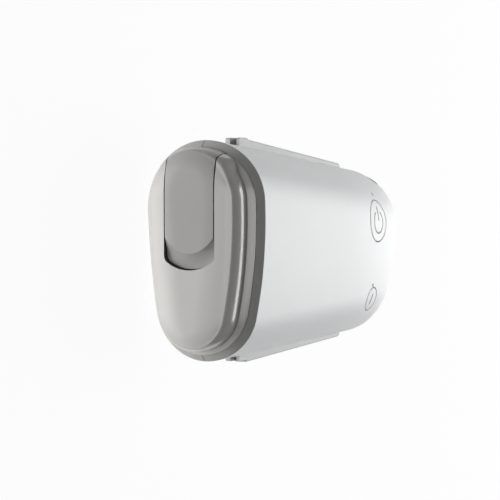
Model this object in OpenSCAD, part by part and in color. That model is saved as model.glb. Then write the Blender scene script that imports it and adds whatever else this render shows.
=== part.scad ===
// Palm-size travel CPAP machine, lying on its back with the button face up.
// X runs from the grey filter end (-X) to the air outlet end (+X), Y across the thick
// and thin sides, Z up. The origin is under the middle of the machine, on the table.

/* [Egg section at the rim] */
// Height of the section across Y
rim_h = 80.8; // [76:0.1:86]
// Radius of the thick (+Y) end of the egg
rim_thick_r = 23.1; // [21:0.1:24]
// Radius of the thin (-Y) end of the egg
rim_thin_r = 20.2; // [18:0.1:21]
// Large radius of the button face
face_r = 184; // [150:1:260]
// Large radius of the back face
back_r = 329; // [220:1:400]
// Depth from the parting plane to the button face
front_depth = 25.8; // [24:0.1:27]
// Depth from the parting plane to the back face
back_depth = 25.4; // [24:0.1:27]

/* [Body] */
// Length of the white body behind the rim plane
body_l = 121.6; // [118:0.1:126]
// Drop of the thick side from rim to tip
thick_taper = 10.3; // [8:0.1:12]
// Drop of the thin side from rim to tip
thin_taper = 5.45; // [4:0.05:7]
// Drop of the button face from rim to tip, before its end curve
face_taper = 2; // [1:0.1:3]
// Length of the rounding at the outlet end
end_round_l = 19.8; // [17:0.1:22]
// How far that rounding draws the sides in
end_round_in = 9.7; // [8:0.1:11]
// Length of the long end curve of the button face
face_curve_l = 55; // [48:1:60]
// Lean of the outlet end, in degrees
end_lean = 7.5; // [4:0.1:9]
// Wall of the two body shells
shell_wall = 2.2; // [1.8:0.1:2.6]

/* [Rim bezel and end cap] */
// Length of the bezel in front of the rim plane
bezel_l = 2.05; // [1.8:0.05:2.4]
// How far the bezel's bevel draws in
bezel_in = 2.4; // [2:0.05:2.8]
// Shadow gap between the bezel and the cap flange
cap_gap = 0.35; // [0.3:0.05:0.5]
// Distance of the cap face's edge from the rim plane
cap_face = 10.3; // [10:0.1:11]
// Crown of the cap face
cap_crown = 1.7; // [1:0.1:2]
// Wall of the cap
cap_wall = 1.8; // [1.4:0.1:2]
// Depth of the cap's spigot inside the body
spigot_l = 4; // [3:0.5:5]

/* [Filter door] */
// Width of the door
door_w = 20.8; // [19:0.1:22]
// Middle of the door above the parting plane
door_z = 0.6; // [0:0.1:1]
// Lowest point of the door's round end
door_low_y = -6.3; // [-8:0.1:-6]
// Radius of the door's round end
door_end_r = 17; // [14:0.5:20]
// Radius of the corners of the door's round end
door_corner_r = 2.4; // [2:0.1:3]
// Gap round the door
door_gap = 0.45; // [0.35:0.05:0.6]
// Wall of the door
door_wall = 1.4; // [1.2:0.1:1.6]
// Radius of the finger scoop's edge
scoop_r = 11.1; // [10:0.1:12]
// Depth of the finger scoop at the door's round end
scoop_deep = 2.2; // [1.8:0.1:2.4]
// Distance of the hinge pin from the rim plane
hinge_x = 4.4; // [4.3:0.05:4.6]
// Depth of the hinge pin under the rim's thick end
hinge_down = 4.9; // [4.7:0.05:5]
// Radius of the hinge pin
hinge_pin_r = 0.6; // [0.5:0.05:0.7]
// Running clearance of the door on the pin, on the radius
hinge_clear = 0.06; // [0.03:0.01:0.09]
// Thickness of the air filter
filter_t = 4.6; // [3.5:0.1:4.8]

/* [Buttons] */
// Power button's place from the rim plane
power_x = 92.8; // [90:0.1:95]
// Power button's place across the body
power_y = 10.2; // [8:0.1:12]
// Radius of the power button
power_r = 8.25; // [7.5:0.05:8.6]
// Pairing button's place from the rim plane
pairing_x = 93.3; // [90:0.1:95]
// Pairing button's place across the body
pairing_y = -21.5; // [-23:0.1:-20]
// Radius of the pairing button
pairing_r = 4.5; // [4:0.05:4.8]
// Gap round each button
button_gap = 0.35; // [0.3:0.05:0.45]
// Travel of each button
button_travel = 0.6; // [0.4:0.05:0.8]

/* [Outlet and power inlet] */
// Radius of the air outlet's bore
outlet_r = 9.5; // [9:0.1:10]
// Wall of the outlet collar
outlet_wall = 1.8; // [1.5:0.1:2.1]
// Depth of the outlet's bore
outlet_l = 14; // [12:0.5:15]
// Power inlet's place from the rim plane
dc_x = 110.5; // [108:0.5:112]
// Power inlet's place above the parting plane
dc_z = 8.5; // [7:0.5:9]
// Radius of the power inlet's bore
dc_bore_r = 2.8; // [2.7:0.05:2.9]
// Radius of the power inlet's contact pin
dc_pin_r = 1; // [0.9:0.05:1.1]

/* [Side rails and feet] */
// Height of the rails over the body at their lug end
rail_proud = 3; // [2:0.1:3.2]
// Height of the rails over the body at their outlet end
rail_end_proud = 1.5; // [1:0.1:2]
// Half width of the rails
rail_half = 3; // [2.5:0.1:3.5]
// Height of the lugs over the rim's thick and thin ends
lug_proud = 1.6; // [1.2:0.1:2]
// Height of the thick side's foot strip under the back face
foot_h = 0.8; // [0.6:0.1:1.4]
// Half width of a foot strip
foot_half = 3.5; // [3:0.1:4.5]

/* [Blower] */
// Blower's place from the rim plane
blower_x = 49; // [47:0.5:51]
// Blower's place across the body
blower_y = 3; // [2:0.5:4]
// Radius of the impeller
impeller_r = 19; // [17:0.5:20]
// Number of blades
blades = 11; // [9:1:13]
// Radius of the motor shaft
shaft_r = 1.5; // [1.25:0.05:1.75]
// Outer radius of the bearings
bearing_r = 4; // [3.5:0.1:4.5]
// Wall of the blower casing
volute_wall = 1.4; // [1.2:0.1:1.8]

/* [Hidden] */
$fn = 48;
eps = 0.02;
cap_reach = cap_face + cap_crown;
thick_end_y = rim_h / 2;
tip_inset_top = thick_end_y - thick_taper - end_round_in;
body_tip = body_l + tan(end_lean) * tip_inset_top;
rim_x = -(body_tip + cap_reach) / 2 + cap_reach;
seam_z = foot_h + back_depth;
end_thick_r = rim_thick_r + 1.7;
end_thin_r = rim_thin_r + 2.1;
back_thick_share = 1.08;
back_thin_share = 1.06;
round_power = 2.2;
face_curve_in = end_round_in + 0.3;
arc_steps = 10;
side_steps = 5;

// ---- Shared shapes ----

// Everything is drawn from the rim plane and the parting plane, then set in place here.
module placed() translate([rim_x, 0, seam_z]) children();

// One half of an egg section, from the thin end (-Y) round to the thick end (+Y), as
// three arcs: thin end, large side arc, thick end. depth is its height over the seam.
function egg_half(top, bottom, thick_r, thin_r, side_r, depth, inset, deep_inset) =
  let (
    a = top - thick_r,
    b = bottom + thin_r,
    y0 = (a * a - b * b - pow(side_r - thick_r, 2) + pow(side_r - thin_r, 2)) / (2 * (a - b)),
    z0 = -sqrt(pow(side_r - thick_r, 2) - pow(a - y0, 2)),
    turn_a = atan2(a - y0, -z0),
    turn_b = atan2(b - y0, -z0),
    raw = concat(
      [for (i = [0 : arc_steps]) let (t = -90 + (turn_b + 90) * i / arc_steps)
        [b + (thin_r - inset) * sin(t), (thin_r - inset) * cos(t)]],
      [for (i = [1 : side_steps]) let (t = turn_b + (turn_a - turn_b) * i / side_steps)
        [y0 + (side_r - inset) * sin(t), z0 + (side_r - inset) * cos(t)]],
      [for (i = [1 : arc_steps]) let (t = turn_a + (90 - turn_a) * i / arc_steps)
        [a + (thick_r - inset) * sin(t), (thick_r - inset) * cos(t)]]
    ),
    peak = max([for (p = raw) p[1]])
  )
  [for (p = raw) [p[0], max(0, p[1]) * (depth - deep_inset) / peak]];

// How far a superellipse rounding has drawn in, from 0 at its start to 1 at its end
function rounding(s) = 1 - pow(1 - pow(min(1, max(0, s)), round_power), 1 / round_power);

function end_share(x) = min(1, max(0, (x - (body_l - end_round_l)) / end_round_l));

// Half section of the body at x behind the rim plane, drawn in by inset
function body_half(x, inset, front) =
  let (
    u = min(1, max(0, x / body_l)),
    drawn = end_round_in * rounding(end_share(x)) + inset,
    face_drawn = face_curve_in * rounding((x - (body_l - face_curve_l)) / face_curve_l) + inset,
    thick_r = rim_thick_r + (end_thick_r - rim_thick_r) * u,
    thin_r = rim_thin_r + (end_thin_r - rim_thin_r) * u
  )
  egg_half(
    rim_h / 2 - thick_taper * u,
    -rim_h / 2 + thin_taper * u,
    front ? thick_r : thick_r * back_thick_share,
    front ? thin_r : thin_r * back_thin_share,
    front ? face_r : back_r,
    front ? front_depth - face_taper * u : back_depth,
    drawn,
    front ? face_drawn : drawn
  );

// Stations of the body, closer together where it rounds
body_stations = concat(
  [0, 22, 44],
  [for (i = [0 : 12]) body_l - face_curve_l * pow(1 - i / 12, 2)]
);

// A half section as 3-D points at place x; floor_z below the seam closes a cutter
function half_ring(x, inset, front, floor_z, place) =
  let (
    h = body_half(x, inset, front),
    lean = tan(end_lean) * end_share(x),
    side = front ? 1 : -1,
    foot = floor_z > 0 ? [[h[len(h) - 1][0], -floor_z], [h[0][0], -floor_z]] : []
  )
  [for (p = concat(h, foot)) [place + lean * p[0], p[0], side * p[1]]];

function full_ring(x, inset, place) =
  let (
    f = body_half(x, inset, true),
    b = body_half(x, inset, false),
    lean = tan(end_lean) * end_share(x)
  )
  concat(
    [for (p = f) [place + lean * p[0], p[0], p[1]]],
    [for (i = [len(b) - 2 : -1 : 1]) [place + lean * b[i][0], b[i][0], -b[i][1]]]
  );

// Skin over a list of rings with equal counts, closed at both ends
module loft(rings, flip = false) {
  n = len(rings[0]);
  last = len(rings) - 1;
  sides = [for (i = [0 : last - 1], j = [0 : n - 1]) each let (
    a = i * n + j, b = i * n + (j + 1) % n, c = a + n, d = b + n)
    [[a, c, b], [b, c, d]]];
  ends = [[for (j = [0 : n - 1]) j], [for (j = [n - 1 : -1 : 0]) last * n + j]];
  all_faces = concat(sides, ends);
  polyhedron(
    points = [for (r = rings) each r],
    faces = flip ? [for (f = all_faces) [for (k = [len(f) - 1 : -1 : 0]) f[k]]] : all_faces
  );
}

// Outer form of one shell, closed at the parting plane
module half_body(front, inset = 0) {
  loft([for (x = body_stations) half_ring(x, inset, front, 0, x)], flip = front);
}

// The stretch of the upper half that holds what is near x, for cutting small pieces flush
module upper_near(x, reach, inset = 0) {
  near = [for (s = body_stations) if (s > x - reach && s < x + reach) s];
  loft([for (s = near) half_ring(s, inset, true, 0, s)], flip = true);
}

// Space inside one shell, open at the rim and past the parting plane
module half_space(front) {
  reach = (body_l - shell_wall) / body_l;
  last = len(body_stations) - 1;
  loft(concat(
    [half_ring(0, shell_wall, front, 1, -1)],
    [for (i = [last % 2 == 0 ? 2 : 1 : 2 : last]) let (x = body_stations[i])
      half_ring(x, shell_wall, front, 1, x * reach)]
  ), flip = front);
}

// Section of the rim itself, whole or half, at place x in front of or behind the rim
function rim_ring(inset, place) = full_ring(0, inset, place);
function rim_half(inset, front, place) = half_ring(0, inset, front, 0, place);

// Rod along Y or Z between two points on one line
module rod_z(r, z1, z2) translate([0, 0, z1]) cylinder(r = r, h = z2 - z1);
module rod_y(r, y1, y2) translate([0, y1, 0]) rotate([-90, 0, 0]) cylinder(r = r, h = y2 - y1);

module tube_z(r_out, r_in, z1, z2) {
  translate([0, 0, z1]) difference() {
    cylinder(r = r_out, h = z2 - z1);
    translate([0, 0, -1]) cylinder(r = r_in, h = z2 - z1 + 2);
  }
}

module box(x, y, z) translate([x[0], y[0], z[0]]) cube([x[1] - x[0], y[1] - y[0], z[1] - z[0]]);

// ---- Bosses and screws ----
screw_r = 1.2;
screw_head_r = 2.3;
screw_head_h = 1.6;
boss_r = 3;
rim_screw_x = 9;
tip_screw_x = 101.5;
screw_places = [
  [rim_screw_x, rim_h / 2 - 11.5], [rim_screw_x, -rim_h / 2 + 10],
  [tip_screw_x, rim_h / 2 - 16.4], [tip_screw_x, -rim_h / 2 + 13.4]
];
screw_reach = 9;
screw_seat_z = -12;

// ---- Body shells ----

button_collar_wall = 1.9;
button_flange_h = 0.9;
button_flange_w = 0.9;
led_r = 0.7;
led_clear = 0.3;
power_led = [power_x + 0.9, power_y + power_r + 2.45];
pairing_led = [pairing_x - 1.3, pairing_y + pairing_r + 1.2];
collar_end_z = 14.6;
board_z = 10.4;
board_t = 1.2;
board_post_r = 2.4;
board_posts = [[power_x - 9.5, pairing_y + 12], [power_x + 9, pairing_y + 12]];
dc_body_r = 4.4;
dc_flange_r = 5.2;

module button_collar(x, y, r) {
  translate([x, y, 0]) rod_z(r + button_gap + button_collar_wall, collar_end_z, front_depth);
}

// Hole for a button, with room for its flange under the collar
module button_hole(x, y, r) translate([x, y, 5]) {
  cylinder(r = r + button_gap, h = 30);
  cylinder(r = r + button_gap + button_flange_w + 0.35, h = collar_end_z - 5);
}

module upper_shell() placed() color("white") {
  difference() {
    union() {
      difference() {
        half_body(true);
        half_space(true);
      }
      intersection() {
        half_body(true, 0.8);
        union() {
          button_collar(power_x, power_y, power_r);
          button_collar(pairing_x, pairing_y, pairing_r);
          for (p = board_posts) translate([p[0], p[1], 0])
            rod_z(board_post_r, board_z + board_t, front_depth);
          for (p = screw_places) translate([p[0], p[1], 0]) rod_z(boss_r, 0, front_depth);
          dc_boss();
        }
      }
    }
    for (p = screw_places) translate([p[0], p[1], -1]) cylinder(r = screw_r, h = screw_reach + 1);
    for (p = board_posts) translate([p[0], p[1], board_z]) cylinder(r = screw_r, h = 6);
    button_hole(power_x, power_y, power_r);
    button_hole(pairing_x, pairing_y, pairing_r);
    translate([power_led[0], power_led[1], 5]) cylinder(r = led_r, h = 30);
    translate([pairing_led[0], pairing_led[1], 5]) cylinder(r = led_r, h = 30);
    dc_hole();
    outlet_hole();
  }
}

module lower_shell() placed() color("white") {
  difference() {
    union() {
      difference() {
        half_body(false);
        half_space(false);
      }
      intersection() {
        half_body(false, 0.8);
        union() {
          for (p = screw_places) translate([p[0], p[1], 0]) rod_z(boss_r + 1, -back_depth, 0);
          for (p = mount_places) translate([p[0], p[1], 0]) rod_z(mount_r, -back_depth, mount_z);
          for (p = main_posts) translate([p[0], p[1], 0])
            rod_z(board_post_r, -back_depth, main_board_z);
        }
      }
    }
    for (p = screw_places) translate([p[0], p[1], 0]) {
      rod_z(screw_r + 0.3, screw_seat_z - 1, 1);
      rod_z(screw_head_r + 0.3, -back_depth - 1, screw_seat_z);
    }
    for (p = main_posts) translate([p[0], p[1], 0])
      rod_z(screw_r, main_board_z - 5, main_board_z + 1);
    outlet_hole();
  }
}

module housing_screws() placed() color("silver") {
  for (p = screw_places) translate([p[0], p[1], 0]) difference() {
    union() {
      rod_z(screw_r, screw_seat_z, screw_reach - 1);
      rod_z(screw_head_r, screw_seat_z - screw_head_h, screw_seat_z);
    }
    translate([0, 0, screw_seat_z - screw_head_h - eps]) cylinder(r = 1, h = 1, $fn = 6);
  }
}

// ---- Bezel ----

module bezel_half(front) {
  difference() {
    loft([rim_half(bezel_in, front, -bezel_l), rim_half(0, front, 0)], flip = front);
    loft([
      half_ring(0, spigot_in - 0.2, front, 1, -bezel_l - 1),
      half_ring(0, spigot_in - 0.2, front, 1, 1)
    ], flip = front);
  }
}

module upper_bezel() placed() color("dimgray") bezel_half(true);
module lower_bezel() placed() color("dimgray") bezel_half(false);

// ---- End cap ----

// Outline of the cap from the spigot to the crown, as [in front of the rim, drawn in]
spigot_in = bezel_in + 1;
flange_x = bezel_l + cap_gap;
fillet_x = 4.5;
fillet_in = 5;
cap_profile = concat(
  [[-spigot_l, spigot_in], [flange_x, spigot_in], [flange_x, bezel_in + 0.1]],
  [[fillet_x, fillet_in]],
  [for (t = [30 : 30 : 90]) [fillet_x + 1.3 * (1 - cos(t)), fillet_in + 0.75 * sin(t)]],
  [for (t = [0 : 15 : 75]) [cap_face - 2.6 + 2.6 * sin(t), fillet_in + 1 + 2.6 * (1 - cos(t))]],
  [for (i = [0 : 5]) let (s = i / 5)
    [cap_face + cap_crown * (1 - pow(1 - s, 2)) * 0.98, fillet_in + 3.6 + 11 * s]]
);
cap_inner_profile = [
  [-spigot_l - 1, spigot_in + cap_wall], [flange_x, spigot_in + cap_wall],
  [flange_x + 1.2, fillet_in + cap_wall], [cap_face - cap_wall - 1, fillet_in + cap_wall + 0.9],
  [cap_face - cap_wall, fillet_in + cap_wall + 2.2]
];

// Section of the rim drawn in by side at its sides and by tip at its two narrow ends
function drawn_ring(side, tip, place) =
  let (s = (rim_h / 2 - tip) / (rim_h / 2 - side))
  [for (p = rim_ring(side, place)) [p[0], p[1] * s, p[2]]];

// The cap's step is this share as wide at the narrow ends as at the sides
tip_share = 0.5;
flange_in = bezel_in + 0.1;
function cap_tip(side) = flange_in + max(0, side - flange_in) * tip_share;

module cap_body() {
  loft([for (p = cap_profile) p[0] > flange_x || p[1] < spigot_in
    ? drawn_ring(p[1], cap_tip(p[1]), -p[0]) : rim_ring(p[1], -p[0])]);
}

module cap_space(inset = 0) {
  loft([for (p = cap_inner_profile) p[0] > flange_x
    ? drawn_ring(p[1] + inset, cap_tip(p[1] - cap_wall) + cap_wall + inset, -p[0])
    : rim_ring(p[1] + inset, -p[0])]);
}

hinge_y = rim_h / 2 - hinge_down;
relief_r = 3.1;
barrel_r = 1.5;
ear_r = 1.05;
ear_clear = 0.3;

// Tongue outline of the door in the Y-Z plane, pushed through the cap along X: straight
// sides, a wide arc across the low end and a small round at each of its corners
module in_tongue(grow, x_from, x_to) {
  end_y = door_low_y + door_end_r;
  round_z = door_w / 2 - door_corner_r;
  round_y = end_y - sqrt(pow(door_end_r - door_corner_r, 2) - pow(round_z, 2));
  turn = asin(round_z / (door_end_r - door_corner_r));
  corner = [for (t = [turn : (90 - turn) / 5 : 90.001])
    [round_y - (door_corner_r + grow) * cos(t), round_z + (door_corner_r + grow) * sin(t)]];
  arc = [for (i = [-7 : 7]) let (t = turn * i / 8)
    [end_y - (door_end_r + grow) * cos(t), (door_end_r + grow) * sin(t)]];
  translate([-x_to, 0, door_z]) rotate([90, 0, 90]) linear_extrude(x_to - x_from) polygon(concat(
    [[rim_h / 2, -door_w / 2 - grow]],
    [for (k = [5 : -1 : 0]) [corner[k][0], -corner[k][1]]], arc, corner,
    [[rim_h / 2, door_w / 2 + grow]]
  ));
}

module at_hinge() translate([-hinge_x, hinge_y, door_z]) children();

module end_cap() placed() color([0.62, 0.61, 0.59]) {
  difference() {
    cap_body();
    cap_space();
    in_tongue(door_gap, flange_x, cap_reach + 2);
    at_hinge() rod_z(relief_r, -door_w / 2 - door_gap, door_w / 2 + door_gap);
  }
}

module cap_seal() placed() color([0.25, 0.25, 0.26]) {
  seal_from = 1;
  seal_to = 2.6;
  seal_in = shell_wall + 0.45;
  difference() {
    loft([rim_ring(seal_in, seal_from), rim_ring(seal_in, seal_to)], flip = true);
    loft([rim_ring(spigot_in, seal_from - 1), rim_ring(spigot_in, seal_to + 1)], flip = true);
  }
}

// ---- Filter door, frame and filter ----

ear_half = 3.4;
ear_inner = 1.6;
barrel_half = ear_inner - ear_clear;
web_half = 1.2;
door_root_x = flange_x + 0.35;
door_root_in = bezel_in + 0.2;
door_curve_l = cap_face - door_root_x;
door_curve_in = fillet_in + 3.6 - door_root_in;
door_curve_tip = 2;
crown_in = 11;

// Outline of the door's skin as [in front of the rim, drawn in at the sides, drawn in at the
// tips]: an elliptic wrap from the face over the thick edge of the cap, then the cap's own
// crown. back is how far the skin's inner side lies behind it.
function door_profile(back, steps) = concat(
  [for (i = [0 : steps]) let (t = 90 * i / steps)
    [door_root_x + (door_curve_l - back) * sin(t), door_root_in + back + door_curve_in * (1 - cos(t)),
      door_root_in + back + door_curve_tip * (1 - cos(t))]],
  [for (i = [1 : 4]) let (s = i / 4, thin = s * (1 - back / 20))
    [cap_face - back + cap_crown * (1 - pow(1 - s, 2)) * 0.98,
      door_root_in + back + door_curve_in + crown_in * thin,
      door_root_in + back + door_curve_tip
        + (cap_tip(fillet_in + 3.6 + crown_in) - door_root_in - door_curve_tip) * thin]]
);

module door_skin() {
  loft([for (p = door_profile(0, 6)) drawn_ring(p[1], p[2], -p[0])]);
}

// Space behind the skin, open towards the body
module door_space() {
  start = drawn_ring(door_root_in + door_wall, door_root_in + door_wall, 0);
  loft(concat([start], [for (p = door_profile(door_wall, 4)) drawn_ring(p[1], p[2], -p[0])]));
}

scoop_run = 5.6;
scoop_steps = 5;

// A half ring about the middle of the scoop, on the side of the door's round end
module scoop_ring(points) {
  translate([-cap_reach, door_low_y + scoop_run + scoop_r, door_z])
    rotate([0, -90, 0]) rotate([0, 0, 180]) rotate_extrude(angle = 180, $fn = 96) polygon(points);
}

module finger_scoop() {
  scoop_ring(concat(
    [[scoop_r, 3]],
    [for (i = [0 : scoop_steps]) let (s = i / scoop_steps)
      [scoop_r + scoop_run * s, -scoop_deep * (1 - pow(1 - s, 2))]],
    [[scoop_r + 9, -scoop_deep], [scoop_r + 9, 3]]
  ));
}

// Wall behind the scoop, so that the skin follows it inwards
module scoop_wall() {
  scoop_ring([[scoop_r - 2, -scoop_deep - door_wall], [scoop_r + 9, -scoop_deep - door_wall],
    [scoop_r + 9, 1], [scoop_r - 2, 1]]);
}

module filter_door() placed() color([0.6, 0.59, 0.57]) {
  difference() {
    intersection() {
      difference() {
        door_skin();
        difference() {
          door_space();
          scoop_wall();
          at_hinge() translate([-web_half, 0, -barrel_half]) cube([2 * web_half, 4, 2 * barrel_half]);
          at_hinge() rod_z(barrel_r, -barrel_half, barrel_half);
        }
        finger_scoop();
      }
      in_tongue(0, door_root_x, cap_reach + 2);
    }
    for (s = [-1, 1]) at_hinge() rod_z(ear_r + ear_clear, s > 0 ? barrel_half : -ear_half - ear_clear,
      s > 0 ? ear_half + ear_clear : -barrel_half);
    at_hinge() rod_z(hinge_pin_r + hinge_clear, -door_w, door_w);
  }
}

module door_hinge_pin() placed() color("silver") at_hinge() rod_z(hinge_pin_r, -ear_half, ear_half);

frame_half_z = door_w / 2 + 1.6;
frame_low_y = door_low_y - 1.6;
frame_top_y = hinge_y - 5.4;
frame_back = 1.4;
frame_plate = 1.2;
frame_wall = 1.2;
frame_front = cap_face - cap_wall;
frame_clear = 0.1;
slot_w = 2.2;
slot_step = 4;

// A box round the filter's middle, from x = -front to x = -back, in by t from the frame
module frame_box(t, front, back) translate([0, 0, door_z])
  box([-front, -back], [frame_low_y + t, frame_top_y - t], [-frame_half_z + t, frame_half_z - t]);

module filter_frame() placed() color([0.35, 0.35, 0.36]) {
  difference() {
    intersection() {
      frame_box(0, frame_front, frame_back);
      cap_space(frame_clear);
    }
    intersection() {
      frame_box(frame_wall, frame_front + 1, frame_back + frame_plate);
      cap_space(frame_clear + frame_wall);
    }
    for (k = [-2 : 2]) translate([0, 0, door_z + k * slot_step])
      box([-frame_front, 0], [frame_low_y + 4, frame_top_y - 4], [-slot_w / 2, slot_w / 2]);
  }
  for (s = [-1, 1]) at_hinge() difference() {
    translate([0, 0, s > 0 ? ear_inner : -ear_half]) union() {
      cylinder(r = ear_r, h = ear_half - ear_inner);
      translate([-ear_r, -5.4 - frame_wall / 2, 0])
        cube([ear_r - 0.3, 5.4 + frame_wall / 2, ear_half - ear_inner]);
    }
    rod_z(hinge_pin_r, -door_w, door_w);
  }
}

module air_filter() placed() color([0.93, 0.94, 0.95]) {
  fit = 0.3;
  intersection() {
    frame_box(frame_wall + fit, frame_back + frame_plate + filter_t, frame_back + frame_plate);
    cap_space(frame_clear + frame_wall + fit);
  }
}

// ---- Intake duct, foam and gasket ----

duct_x0 = 2.5;
duct_drop_x = 19;
duct_end_x = blower_x + 19;
duct_y = [-22, 24];
duct_floor_z = 8.4;
duct_top_z = 15.8;
duct_low_z = -frame_half_z + door_z - 0.4;
duct_wall = 1.2;
eye_r = 9;

function duct_outline(t) = [
  [duct_x0 - (t > 0 ? 1 : 0), duct_low_z + t], [duct_drop_x - t, duct_low_z + t],
  [duct_drop_x - t, duct_floor_z + t], [duct_end_x - t, duct_floor_z + t],
  [duct_end_x - t, duct_top_z - t], [duct_x0 - (t > 0 ? 1 : 0), duct_top_z - t]
];

module intake_duct() placed() color([0.3, 0.31, 0.33]) {
  difference() {
    translate([0, duct_y[1], 0]) rotate([90, 0, 0])
      linear_extrude(duct_y[1] - duct_y[0]) polygon(duct_outline(0));
    translate([0, duct_y[1] - duct_wall, 0]) rotate([90, 0, 0])
      linear_extrude(duct_y[1] - duct_y[0] - 2 * duct_wall) polygon(duct_outline(duct_wall));
    translate([blower_x, blower_y, duct_floor_z - 1]) cylinder(r = eye_r, h = 4);
  }
}

module acoustic_foam() placed() color([0.2, 0.2, 0.22]) {
  foam_t = 6;
  low = duct_low_z + duct_wall;
  box([duct_x0 + 2, duct_drop_x - duct_wall], [duct_y[0] + duct_wall, duct_y[0] + duct_wall + foam_t],
    [low, duct_top_z - duct_wall]);
  box([duct_x0 + 2, duct_drop_x - duct_wall], [duct_y[1] - duct_wall - foam_t, duct_y[1] - duct_wall],
    [low, duct_top_z - duct_wall]);
}

module intake_gasket() placed() color([0.2, 0.2, 0.22]) {
  grip = 2;
  difference() {
    box([-frame_back, duct_x0], [frame_low_y, frame_top_y - 2.5],
      [duct_low_z, door_z + frame_half_z]);
    box([-frame_back - 1, duct_x0 + 1], [frame_low_y + grip, frame_top_y - 2.5 - grip],
      [duct_low_z + grip, door_z + frame_half_z - grip]);
  }
}

// ---- Rails with lugs ----

rail_seat = 0.03;
rail_from = 31;
rail_to = 97;
lug_from = 13.5;
lug_wall_x = 22;

// Middle of a narrow side at x, as a distance from the axis
function side_y(x, side) = rim_h / 2 - (side > 0 ? thick_taper : thin_taper) * x / body_l;

// The strip of a narrow side that the rails lie on, filled in to the axis
function side_ring(x, side) =
  let (
    f = body_half(x, -rail_seat, true),
    b = body_half(x, -rail_seat, false),
    n = len(f) - 1,
    near = side > 0 ? [n - 2, n - 1, n] : [2, 1, 0]
  )
  concat(
    [[x, 0, f[near[0]][1]]],
    [for (k = near) [x, f[k][0], f[k][1]]],
    [[x, b[near[1]][0], -b[near[1]][1]], [x, b[near[0]][0], -b[near[0]][1]]],
    [[x, 0, -b[near[0]][1]]]
  );

module side_slab(side) {
  loft([for (x = body_stations) if (x < 105) side_ring(x, side)], flip = side > 0);
}

// Bar along a narrow side with two bevelled outer edges, through stations [x, outer y]
module rail_bar(side, stations, half, bevel) {
  loft([for (p = stations) [
    [p[0], side * 20, -half], [p[0], side * (p[1] - bevel), -half],
    [p[0], side * p[1], -half + bevel], [p[0], side * p[1], half - bevel],
    [p[0], side * (p[1] - bevel), half], [p[0], side * 20, half]
  ]], flip = side < 0);
}

rail_bevel = 0.6;
lug_reach = rim_h / 2 + lug_proud;
lug_half = rail_half + 0.8;
lug_ramp = 1.6;
pocket_from = lug_from + 4;

module rail(side) {
  difference() {
    union() {
      rail_bar(side, [
        [rail_from - 1, side_y(rail_from, side) + rail_proud],
        [rail_to, side_y(rail_to, side) + rail_end_proud]
      ], rail_half, rail_bevel);
      rail_bar(side, [
        [lug_from, side_y(lug_from, side) + 0.5], [lug_from + lug_ramp, lug_reach],
        [rail_from, lug_reach]
      ], lug_half, rail_bevel);
    }
    side_slab(side);
    translate([pocket_from, side > 0 ? side_y(pocket_from, side) + 0.4 : -lug_reach - 1,
      -lug_half + 1]) cube([lug_wall_x - pocket_from, lug_reach, 2 * lug_half]);
  }
}

module left_rail() placed() color("whitesmoke") rail(1);
module right_rail() placed() color("whitesmoke") rail(-1);

// ---- Buttons, domes, board and lenses ----

stem_r = 2;
dome_h = 1.6;
stem_end_z = board_z + board_t + dome_h;

module button(x, y, r, led) {
  flange_r = r + button_gap + button_flange_w;
  intersection() {
    upper_near(x, 20);
    translate([x, y, 0]) rod_z(r, collar_end_z, front_depth);
  }
  difference() {
    translate([x, y, 0]) rod_z(flange_r, collar_end_z - button_flange_h, collar_end_z);
    translate([led[0], led[1], 0]) rod_z(led_r + led_clear, 0, collar_end_z + eps);
  }
  translate([x, y, 0]) rod_z(stem_r, stem_end_z, collar_end_z - button_flange_h);
}

module power_button() placed() color("white") button(power_x, power_y, power_r, power_led);
module pairing_button() placed() color("white") button(pairing_x, pairing_y, pairing_r, pairing_led);

module dome(x, y, r) {
  translate([x, y, board_z + board_t]) difference() {
    cylinder(r1 = r + 0.6, r2 = r - 0.8, h = dome_h);
    translate([0, 0, -eps]) cylinder(r1 = r, r2 = r - 1.6, h = dome_h - 0.5);
  }
}

module power_dome() placed() color("lightgray") dome(power_x, power_y, 3);
module pairing_dome() placed() color("lightgray") dome(pairing_x, pairing_y, 3);

module button_board() placed() color("darkgreen") difference() {
  z = [board_z, board_z + board_t];
  union() {
    box([power_x - 12.5, power_x + 11.5], [pairing_y + 8, power_y + 7.5], z);
    box([pairing_x - 5, pairing_x + 5], [pairing_y - 5, pairing_y + 9], z);
    box([power_led[0] - 3, power_led[0] + 3], [power_y + 7, power_led[1] + 2], z);
  }
  for (p = board_posts) translate([p[0], p[1], 0]) rod_z(screw_r + 0.1, 0, 20);
}

module lens(p) intersection() {
  translate([p[0], p[1], 0]) rod_z(led_r, board_z + board_t, front_depth);
  upper_near(p[0], 20);
}

module power_led_lens() placed() color("palegreen") lens(power_led);
module pairing_led_lens() placed() color("gray") lens(pairing_led);

module board_screws() placed() color("silver") {
  head_r = 2;
  for (p = board_posts) translate([p[0], p[1], 0]) {
    rod_z(screw_r, board_z, board_z + board_t + 4);
    rod_z(head_r, board_z - 1.1, board_z);
  }
  for (p = main_posts) translate([p[0], p[1], 0]) {
    rod_z(screw_r, main_board_z - 3.6, main_board_z + board_t);
    rod_z(head_r, main_board_z + board_t, main_board_z + board_t + 1.1);
  }
}

// ---- Main board and power inlet ----

main_board_z = -16.5;
main_x = [76, 106];
main_y = [-17, 15];
main_posts = [[main_x[0] + 3, main_y[0] + 3], [main_x[0] + 3, main_y[1] - 3],
  [main_x[1] - 3, main_y[0] + 3], [main_x[1] - 3, main_y[1] - 3]];

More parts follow.
